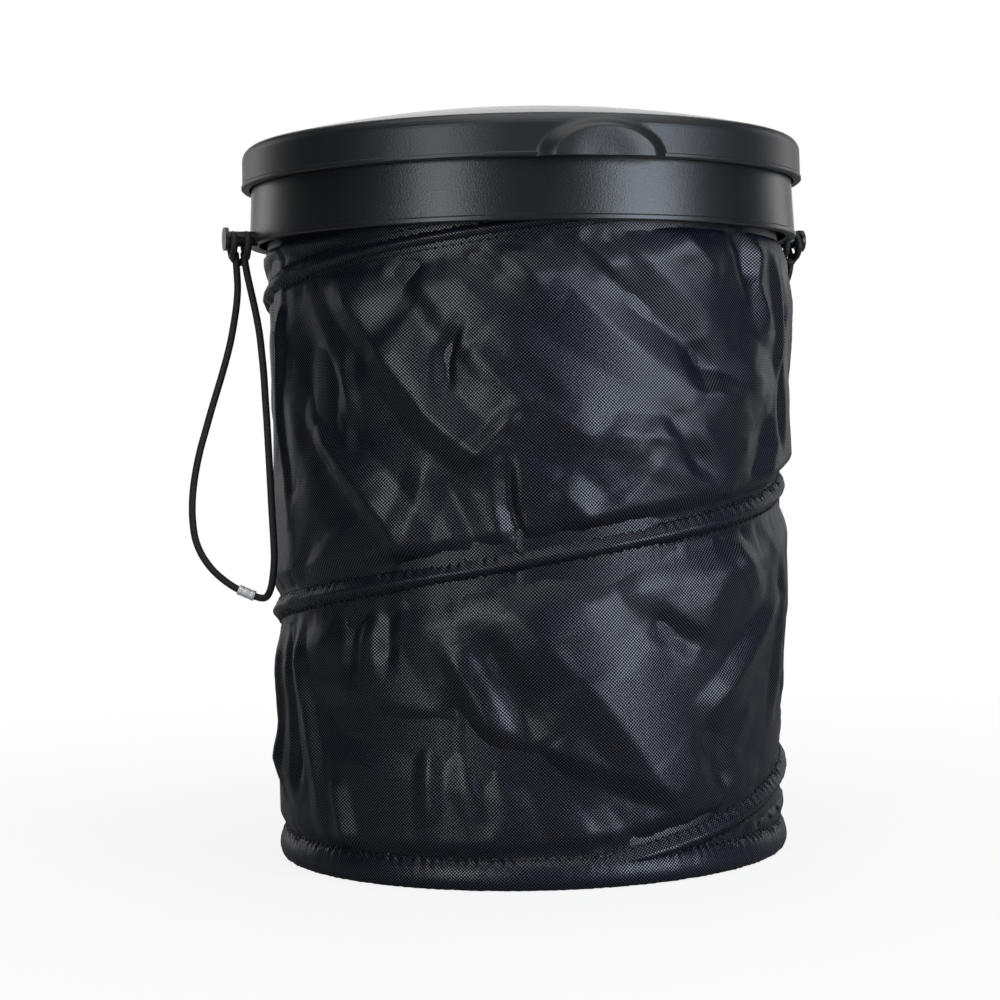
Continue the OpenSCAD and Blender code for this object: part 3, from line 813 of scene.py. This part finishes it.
class CARBIN_OT_stage(bpy.types.Operator):
    """Makes the camera, the floor, the lamps and the white surroundings"""

    bl_idname = "carbin.stage"
    bl_label = "Studio"

    # Each softbox: how far it stands from the bin towards the camera and to the right of it, its
    # height, its width and length, all in metres, the setting of its power, and its tint
    softboxes = {
        "right_softbox": (0.74, 0.88, 0.2, (0.6, 0.75), "key", (0.8, 0.89, 1)),
        "left_softbox": (1.0, -0.63, 0.2, (0.42, 0.75), "fill", (0.92, 0.96, 1)),
        "right_edge_box": (-0.75, 0.8, 0.35, (0.3, 0.7), "edge", WHITE),
        "left_edge_box": (-0.75, -0.8, 0.35, (0.3, 0.7), "edge", WHITE),
        "rear_softbox": (-1.2, 0, 0.62, (0.8, 0.75), "rear", WHITE),
        "brow_softbox": (0.95, 0, 1.0, (1.3, 0.45), "brow", WHITE),
        "top_softbox": (0.15, 0.1, 1.25, (1.4, 1.4), "top", WHITE),
    }

    def execute(self, context):
        studio = context.scene.carbin_studio
        back = Vector((math.sin(studio.azimuth), -math.cos(studio.azimuth), 0))
        side = Vector((math.cos(studio.azimuth), math.sin(studio.azimuth), 0))
        self.camera(context, studio, back)
        self.floor()
        self.surroundings(context, -back)
        for name, (near, right, height, size, power, tint) in self.softboxes.items():
            place = back * near + side * right + Vector((0, 0, height))
            self.softbox(name, place, size, getattr(studio, power), tint)
        context.scene.view_settings.view_transform = "Standard"
        return {"FINISHED"}

    def camera(self, context, studio, back):
        """Stands the camera where the photograph was taken from, looking level."""
        data = bpy.data.cameras.new("camera")
        data.sensor_width = SENSOR_WIDTH
        data.lens = studio.lens
        data.shift_x = -studio.axis_across
        data.shift_y = -studio.horizon_up
        made = put("camera", data)
        made.location = back * studio.distance + Vector((0, 0, studio.height))
        made.rotation_mode = "QUATERNION"
        level = (-back).to_track_quat("-Z", "Y")
        made.rotation_quaternion = level @ Matrix.Rotation(studio.roll, 4, "Z").to_quaternion()
        context.scene.camera = made

    def floor(self):
        """A pale floor that keeps the bin's shadow and turns white to the camera further off."""
        corners = STAGE_REACH * np.array([(-1, -1, 0), (1, -1, 0), (1, 1, 0), (-1, 1, 0)])
        uvs = corners[None, :, :2] / STAGE_REACH
        made = mesh_object("studio_floor", corners, np.array([[0, 1, 2, 3]]), uvs)
        paint = new_paint("pale_floor")
        speck = paint.noise(0.4, 2.0)
        colour = paint.mix(speck, rgba(WHITE, 0.78), rgba(WHITE, 0.82))
        camera, glossy, through = paint.rays()
        shade = paint.mix(camera + 0.3 * (glossy + through), rgba(WHITE, 0.09), colour)
        lit = paint.node("ShaderNodeBsdfDiffuse", values={"Color": shade})
        white = paint.node("ShaderNodeEmission", values={"Color": rgba(WHITE), "Strength": 1.0})
        far = paint.node("ShaderNodeVectorMath", {"operation": "LENGTH"}, {0: paint.place()},
                         output="Value")
        share = camera * paint.fade(far, 0.08, 0.45, start=0.85)
        shader = paint.node("ShaderNodeMixShader", values={0: share, 1: lit, 2: white})
        made.data.materials.append(paint.end(shader))

    def surroundings(self, context, ahead):
        """White to the camera. Gloss and glass see white in a patch behind the bin alone, and
        the rest only sees a faint light."""
        context.scene.world = bpy.data.worlds.new("studio")
        paint = Paint(context.scene.world)
        camera, glossy, through = paint.rays()
        way = paint.node("ShaderNodeTexCoord", output="Generated")
        facing = paint.node("ShaderNodeVectorMath", {"operation": "DOT_PRODUCT"},
                            {0: way, 1: tuple(ahead)}, output="Value")
        backdrop = paint.fade(facing, 0.86, 0.965, start=0.01)
        strength = camera + (1 - camera) * ((glossy + through) * backdrop
                                            + (1 - glossy - through) * 0.1)
        light = {"Color": rgba(WHITE), "Strength": strength}
        paint.end(paint.node("ShaderNodeBackground", values=light), "ShaderNodeOutputWorld")

    def softbox(self, name, place, size, power, tint):
        """A lamp that is aimed at the bin's middle."""
        data = bpy.data.lights.new(name, "AREA")
        data.shape = "RECTANGLE"
        data.size, data.size_y = size
        data.energy = power
        data.color = tint
        made = put(name, data)
        made.location = place
        made.rotation_mode = "QUATERNION"
        aim = Vector((0, 0, AIM_HEIGHT)) - place
        made.rotation_quaternion = aim.to_track_quat("-Z", "Y")


class CARBIN_OT_cords(bpy.types.Operator):
    """Makes the two elastic loops with their knots and crimped ferrules"""

    bl_idname = "carbin.cords"
    bl_label = "Cord loops"

    ferrule_sides = 28

    def execute(self, context):
        cord = context.scene.carbin_cord
        braid = braided_cord("braided_elastic", cord)
        metal = bright_metal("crimped_metal", FERRULE_METAL, 0.5)
        for name, (side, route, crimp) in LOOPS.items():
            given = np.array([(side * p[0], -p[1], p[2]) for p in route]) * MM
            path = smooth_path(given, 0.8 * MM)
            loop = tube(f"{name}_loop", path, cord.diameter / 2, 14)
            dress(loop, braid, "rim", "cord", f"{name}_cord")
            knot = self.knot(name, side, cord)
            dress(knot, braid, "rim", "cord", f"{name}_cord_knot")
            sleeve = self.ferrule(name, given[crimp], given[crimp + 1], cord)
            dress(sleeve, metal, "rim", "ferrule_metal", f"{name}_ferrule")
            for piece in (loop, sleeve):
                self.hang_flat(piece)
        return {"FINISHED"}

    def hang_flat(self, piece):
        """Gives a loop or a ferrule its own copy of its mesh."""
        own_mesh(piece)

    def knot(self, name, side, cord):
        """Two turns round the lug's bar, joined by the bight that crosses below them."""
        radius = cord.diameter / 2 / MM
        half_t, half_w = LUG_HALF_T + KNOT_ROOM + radius, LUG_HALF_W + KNOT_ROOM + radius
        inner_x, outer_x = (LUG_END_X - inset for inset in KNOT_INSETS)
        bight = ((inner_x + outer_x) / 2, -1.6, LUG_BAR_Z - half_t - 1.5)
        turns = [[(x + 0.15 * way * math.sin(2 * turn), way * half_w * math.sin(turn),
                   LUG_BAR_Z - half_t * math.cos(turn))
                  for turn in np.radians(range(0, 361, 30))]
                 for x, way in ((inner_x, 1), (outer_x, -1))]
        points = np.array([*turns[0], bight, *turns[1]]) * (side, side, 1) * MM
        return tube(f"{name}_knot", smooth_path(points, 0.6 * MM), radius * MM, 12)

    def ferrule(self, name, start, end, cord):
        """A short sleeve with two crimped waists."""
        middle, way = (start + end) / 2, (end - start) / np.linalg.norm(end - start)
        side = np.cross(way, (0, 1, 0))
        side /= np.linalg.norm(side)
        bore = cord.diameter / 2 + FERRULE_PLAY * MM
        outer = bore + FERRULE_WALL * MM
        half = FERRULE_LENGTH / 2 * MM
        edge_x, edge_r = half - FERRULE_EDGE[0] * MM, outer - FERRULE_EDGE[1] * MM
        profile = [(-half, bore), (-half, edge_r), (-edge_x, outer)]
        for t in np.linspace(-0.8, 0.8, 17):
            waist = 0.07 * MM * max(0, math.cos((t - math.copysign(0.36, t)) * 9)) if t else 0
            profile.append((t * half, outer - waist))
        profile += [(edge_x, outer), (half, edge_r), (half, bore)]
        ring = circle(side, np.cross(way, side), self.ferrule_sides)
        rings = np.array([middle + way * x + r * ring for x, r in profile])
        across = np.linspace(0, 1, self.ferrule_sides + 1)
        return loft(f"{name}_crimp", rings, across, np.linspace(0, 1, len(rings) + 1), closed=True)


class CARBIN_OT_bag(bpy.types.Operator):
    """Makes the crumpled cloth of the bag as one closed skin"""

    bl_idname = "carbin.bag"
    bl_label = "Bag"

    columns = 480
    outer_rings = 186
    hidden_rings = 4
    inner_rings = 9
    fold_allowance = 1.02

    def execute(self, context):
        cloth = context.scene.carbin_cloth
        angle = 180 + np.arange(self.columns) * 360 / self.columns
        outer_z = np.concatenate([np.linspace(0, COLLAR_LOW_Z + 2, self.outer_rings),
                                  np.linspace(COLLAR_LOW_Z + 6, HEM_Z, self.hidden_rings)])
        inner_z = np.linspace(HEM_Z, 0, self.inner_rings)
        a, z = np.meshgrid(angle, outer_z)
        outside = cloth_r(a, z, cloth)
        a_in, z_in = np.meshgrid(angle, inner_z)
        inside = np.minimum(cloth_r(a_in, z_in, cloth), seat_r(z_in) + 1.2) - CLOTH_T
        rings = np.concatenate([around(a, outside, z), around(a_in, inside, z_in)])
        across = np.arange(self.columns + 1) / self.columns * 2 * math.pi * seat_r(BAG_H / 2) * MM
        along = np.concatenate([outer_z, inner_z, outer_z[:1]]) * MM
        bag = loft("bag_cloth", rings, across, along, closed=True)
        dress(bag, woven_cloth("bag_nylon", cloth), "base", "bag_cloth", "bag_wall")
        press_flat(bag)
        girth = 2 * math.pi * seat_r(BAG_H) * MM
        return {"FINISHED"}


class CARBIN_OT_sleeves(bpy.types.Operator):
    """Makes the spring wire and the cloth channels sewn over it and over the lower hoop"""

    bl_idname = "carbin.sleeves"
    bl_label = "Coil and channels"

    # Sections of the coil's channel and of the foot's: mm up from the middle, and mm out from
    # the cloth under it
    coil_section = (
        (-3.5, -0.35), (-3.35, 0.1), (-3.05, 0.1), (-2.6, 0.35), (-2.1, 0.8), (-1.5, 1.5),
        (-1.0, 2.0), (-0.4, 2.25), (0.2, 2.2), (0.7, 1.9), (1.2, 1.5), (1.8, 1.1), (2.4, 0.75),
        (2.8, 0.4), (3.1, 0.1), (3.35, 0.1), (3.5, -0.35), (1.2, -0.42), (-1.2, -0.42))
    foot_section = (
        (-3.5, -0.3), (-3.6, 0.5), (-3.4, 1.1), (-2.9, 1.6), (-2.2, 1.95), (-1.4, 2.14),
        (-0.6, 2.2), (0.2, 2.17), (1.0, 2.05), (1.8, 1.85), (2.6, 1.55), (3.3, 1.2), (3.9, 0.8),
        (4.4, 0.4), (4.7, 0.12), (5.0, 0.1), (5.2, -0.35), (1.2, -0.42), (-1.2, -0.42))

    def execute(self, context):
        cloth = context.scene.carbin_cloth
        # The channels wear a copy of the bag's nylon painted a tenth lighter, painted light on
        # their rounded sections.
        nylon = woven_cloth("channel_nylon", cloth, 1.1)
        angle = np.arange(4, COIL_END + 0.5, 0.5)
        coil = self.sleeve("coil_channel", angle, coil_z(angle), self.coil_section, closed=False)
        dress(coil, nylon, "base", "channel_tape", "spiral_channel")
        angle = 180 + np.arange(0, 360, 0.5)
        foot = self.sleeve("foot_channel", angle, np.full_like(angle, LOW_HOOP_Z),
                           self.foot_section, closed=True)
        dress(foot, nylon, "base", "channel_tape", "bottom_channel")
        turns = np.arange(WIRE_BEGIN, COIL_END + 1, 2.0)
        path = around(turns, seat_r(coil_z(turns)) + WIRE_OUT - sink(turns), coil_z(turns))
        wire = tube("spring_wire", path, WIRE_R * MM, 12)
        dress(wire, bright_metal("spring_steel", STEEL, 0.3), "base", "steel", "spiral_wire")
        for piece in (coil, foot, wire):
            press_flat(piece)
        return {"FINISHED"}

    def sleeve(self, name, angle, z, section, closed):
        """A channel whose cloth puckers between its two rows of stitches."""
        section = section[::-1]
        up = np.array([p[0] for p in section])[None, :]
        out = np.array([p[1] for p in section])[None, :]
        flat_up, row_up, unevenness = (4, 4.3, 0.1) if closed else (2.3, 2.9, 0.12)
        walk = (angle * seat_r(z) * math.pi / 180)[:, None]
        pace = walk * 2 * math.pi / STITCH_PITCH
        wander = waves(angle, 3, 9)[:, None]
        ripple = waves(angle, 4, 3.2)[:, None]
        ridge = np.clip(out / 2.4, 0, 1) ** 2
        flat = np.exp(-((np.abs(up) - flat_up) / 0.8) ** 2) * (out > 0)
        puckers = flat * (0.22 * np.sin(pace + up) + 0.4 * ripple)
        row = np.exp(-((np.abs(up) - row_up) / 0.35) ** 2)
        dimples = -0.3 * (0.5 + 0.5 * np.cos(pace)) * row
        sunk = 0 if closed else (2.5 * (1 - ease((angle - angle[0]) / 26)) + sink(angle))[:, None]
        relief = (out > 0) * (puckers + dimples + unevenness * ridge * wander)
        radius = seat_r(z)[:, None] + out - sunk + relief
        height = z[:, None] + up * (1 + 0.03 * wander) + 0.15 * ridge * ripple
        height = np.maximum(height, 0.02)
        rings = around(angle[:, None], radius, height)
        spread = np.concatenate([lengths_along(np.array(section)), [16.0]]) * MM
        along = np.concatenate([walk[:, 0], walk[-1:, 0] + walk[1, 0] - walk[0, 0]]) * MM
        return loft(name, rings, spread, along, closed=closed, caps=not closed)


class CARBIN_OT_stitches(bpy.types.Operator):
    """Sews the rows of stitches along the channels, by Geometry Nodes on their curves"""

    bl_idname = "carbin.stitches"
    bl_label = "Stitches"

    def execute(self, context):
        sewing, cloth = context.scene.carbin_sewing, context.scene.carbin_cloth
        tree = self.tree(thread_finish("sewing_thread", cloth))
        row = sewing.row / MM
        coil = np.arange(8, COIL_END, 1.5)
        round_once = np.arange(0, 360, 1.5)
        rows = [(coil, coil_z(coil) + row), (coil, coil_z(coil) - row),
                (round_once, np.full_like(round_once, LOW_HOOP_Z + row + FOOT_EXTRA))]
        curve = bpy.data.curves.new("stitch_rows", "CURVE")
        curve.dimensions = "3D"
        for angle, z in rows:
            points = around(angle, seat_r(z) + STITCH_OUT, z)
            spline = curve.splines.new("POLY")
            spline.points.add(len(points) - 1)
            spline.points.foreach_set("co", np.c_[points, np.ones(len(points))].ravel())
            spline.use_cyclic_u = angle is round_once
        guide = put("stitch_rows", curve)
        modifier = guide.modifiers.new("stitches", "NODES")
        modifier.node_group = tree
        sizes = {"Pitch": sewing.pitch, "Length": sewing.length, "Thickness": sewing.thickness}
        for item in tree.interface.items_tree:
            if item.in_out == "INPUT" and item.name in sizes:
                modifier[item.identifier] = sizes[item.name]
        context.view_layer.update()
        sewn = guide.evaluated_get(context.evaluated_depsgraph_get())
        stitches = put("stitches", bpy.data.meshes.new_from_object(sewn))
        bpy.data.objects.remove(guide)
        dress(stitches, bpy.data.materials["sewing_thread"], "base", "channel_tape")
        press_flat(stitches)
        return {"FINISHED"}

    def tree(self, thread):
        """Puts a short rounded stitch on the curve at every pitch, along the curve."""
        tree = bpy.data.node_groups.new("stitches", "GeometryNodeTree")
        tree.interface.new_socket("Geometry", in_out="INPUT", socket_type="NodeSocketGeometry")
        for name in ("Pitch", "Length", "Thickness"):
            tree.interface.new_socket(name, in_out="INPUT", socket_type="NodeSocketFloat")
        tree.interface.new_socket("Geometry", in_out="OUTPUT", socket_type="NodeSocketGeometry")
        make = Nodes(tree).node
        rows = make("NodeGroupInput", output="Geometry")
        points = make("GeometryNodeCurveToPoints", {"mode": "LENGTH"},
                      {"Curve": rows, "Length": rows.beside("Pitch")})
        ball = make("GeometryNodeMeshUVSphere", None, {"Segments": 6, "Rings": 4, "Radius": 0.5})
        turn = make("FunctionNodeAlignRotationToVector", {"axis": "Z"},
                    {"Vector": points.beside("Tangent")})
        thick = rows.beside("Thickness")
        size = make("ShaderNodeCombineXYZ", None, {0: thick, 1: thick, 2: rows.beside("Length")})
        copies = make("GeometryNodeInstanceOnPoints", None, {
            "Points": points, "Instance": ball, "Rotation": turn, "Scale": size})
        real = make("GeometryNodeRealizeInstances", None, {"Geometry": copies})
        sewn = make("GeometryNodeSetMaterial", None, {"Geometry": real, "Material": thread})
        make("NodeGroupOutput", None, {"Geometry": sewn})
        return tree


class CARBIN_OT_floor_cloth(bpy.types.Operator):
    """Makes the round cloth floor of the bag"""

    bl_idname = "carbin.floor_cloth"
    bl_label = "Cloth floor"

    # Round the floor's edge, in metres, and the height of its upper face, in millimetres
    girth = 2 * math.pi * 0.07
    upper_z = 0.66

    def execute(self, context):
        cloth = context.scene.carbin_cloth
        radii = np.array([0.3, 8, 16, 24, 32, 40, 48, 56, 62, 66, 68.4, FLOOR_R - 0.1])
        angle = np.arange(0, 360, 3.0)
        a, r = np.meshgrid(angle, radii)
        ripple = 0.12 * np.sin(np.radians(a * 5)) * ease(r / 50) * (1 - ease((r - 60) / 8))
        low = around(a, r, 0.1 + np.abs(ripple))
        high = around(a, r[::-1], self.upper_z)
        rings = np.concatenate([low, high])
        across = np.linspace(0, self.girth, len(angle) + 1)
        along = np.concatenate([radii, radii[::-1], radii[:1]]) * MM
        floor = loft("floor_cloth", rings, across, along, caps=True)
        dress(floor, woven_cloth("floor_nylon", cloth), "base", "bag_cloth", "bag_floor")
        return {"FINISHED"}


class CARBIN_OT_mouldings(bpy.types.Operator):
    """Finishes the lid, the collar and the plastic inside them"""

    bl_idname = "carbin.mouldings"
    bl_label = "Mouldings"

    tab_rows = 64
    tab_columns = 161
    tab_depth = 1.6

    def execute(self, context):
        plastic = context.scene.carbin_plastic
        lid_black = moulded_plastic("lid_black", plastic, 1.0, 0.07)
        paint_node("lid", lid_black)
        dress(self.tab_face(plastic), lid_black, "lid", "lid_plastic")
        paint_node("collar", moulded_plastic("collar_black", plastic, 0.9))
        paint_node("clamp_ring", moulded_plastic("clamp_black", plastic, 1.3))
        paint_node("base_board", moulded_plastic("board_black", plastic, 2.0))
        return {"FINISHED"}

    def tab_face(self, plastic):
        """The thumb tab's face, which swells softly out of the skirt. Past the tab it runs on
        inside the lid's wall. Along the edge of the tab's half ellipse, out is 1."""
        up = np.linspace(-0.04, 1.2 * TAB_H, self.tab_rows)
        across = np.linspace(1.25 * TAB_HALF_W, -1.25 * TAB_HALF_W, self.tab_columns)
        x, z = np.meshgrid(across, up, indexing="ij")
        out = np.hypot(x / TAB_HALF_W, z / TAB_H)
        dip = ease(1.25 - np.hypot(x / (0.5 * TAB_HALF_W), z / (0.72 * TAB_H)))
        round_off = SHOULDER_R - np.sqrt(SHOULDER_R ** 2 - np.clip(z - SHOULDER_UP, 0, None) ** 2)
        front_r = LID_R - 0.1 - round_off + 0.16 * ease((1.2 - out) / 0.07) \
            + TAB_OUT * ease((1.13 - out) / 0.32) - plastic.tab_dip / MM * dip
        back_r = np.full((len(across), 2), LID_R - self.tab_depth)
        radius = np.concatenate([front_r, back_r], axis=1)
        height = np.concatenate([z, z[:, -1:], z[:, :1]], axis=1)
        wide = np.broadcast_to(across[:, None], radius.shape)
        rings = np.stack([wide, -np.sqrt(radius ** 2 - wide ** 2), SKIRT_Z + height], -1) * MM
        spread = np.linspace(0, 1, radius.shape[1] + 1)
        return loft("tab_face", rings, spread, np.linspace(0, 1, len(across) + 1), caps=True)


class CARBIN_OT_fittings(bpy.types.Operator):
    """Finishes the steel, and the tapes inside the bag"""

    bl_idname = "carbin.fittings"
    bl_label = "Steel and tapes"

    def execute(self, context):
        steel = bright_metal("drawn_steel", STEEL, 0.3)
        for name in ("hinge_pin", "top_hoop", "bottom_hoop"):
            paint_node(name, steel)
        paint = new_paint("tape_nylon")
        rib = paint.noise(0.0009, 3.0)
        cloth = context.scene.carbin_cloth
        colour = paint.mix(rib, rgba(cloth.colour, 0.8), rgba(cloth.colour, 1.6))
        tape = paint.finish(base_color=colour, roughness=0.6, normal=paint.bump(rib, 0.0001, 0.7))
        for name in ("top_channel", "floor_binding"):
            paint_node(name, tape)
        return {"FINISHED"}


class CARBIN_PT_pieces(bpy.types.Panel):
    """Lists the pieces of the bin in the sidebar"""

    bl_idname = "CARBIN_PT_pieces"
    bl_label = "Car bin"
    bl_space_type = "VIEW_3D"
    bl_region_type = "UI"
    bl_category = "Car bin"

    def draw(self, context):
        for operator in OPERATORS:
            self.layout.operator(operator.bl_idname)
        for name, settings in SETTINGS.items():
            box = self.layout.box()
            for field in settings.__annotations__:
                box.prop(getattr(context.scene, name), field)


SETTINGS = {
    "carbin_studio": StudioSettings,
    "carbin_cloth": ClothSettings,
    "carbin_sewing": SewingSettings,
    "carbin_cord": CordSettings,
    "carbin_plastic": PlasticSettings,
}
OPERATORS = (
    CARBIN_OT_stage,
    CARBIN_OT_cords,
    CARBIN_OT_bag,
    CARBIN_OT_sleeves,
    CARBIN_OT_stitches,
    CARBIN_OT_floor_cloth,
    CARBIN_OT_mouldings,
    CARBIN_OT_fittings,
)


def register():
    """Adds the settings, the operators and the panel to Blender."""
    for name, settings in SETTINGS.items():
        bpy.utils.register_class(settings)
        setattr(bpy.types.Scene, name, PointerProperty(type=settings))
    for kind in (*OPERATORS, CARBIN_PT_pieces):
        bpy.utils.register_class(kind)


def unregister():
    """Takes them out again."""
    for kind in (CARBIN_PT_pieces, *reversed(OPERATORS)):
        bpy.utils.unregister_class(kind)
    for name, settings in SETTINGS.items():
        delattr(bpy.types.Scene, name)
        bpy.utils.unregister_class(settings)


def main():
    """Makes every piece in order."""
    register()
    for operator in OPERATORS:
        group, name = operator.bl_idname.split(".")
        getattr(getattr(bpy.ops, group), name)()


if __name__ == "__main__":
    main()
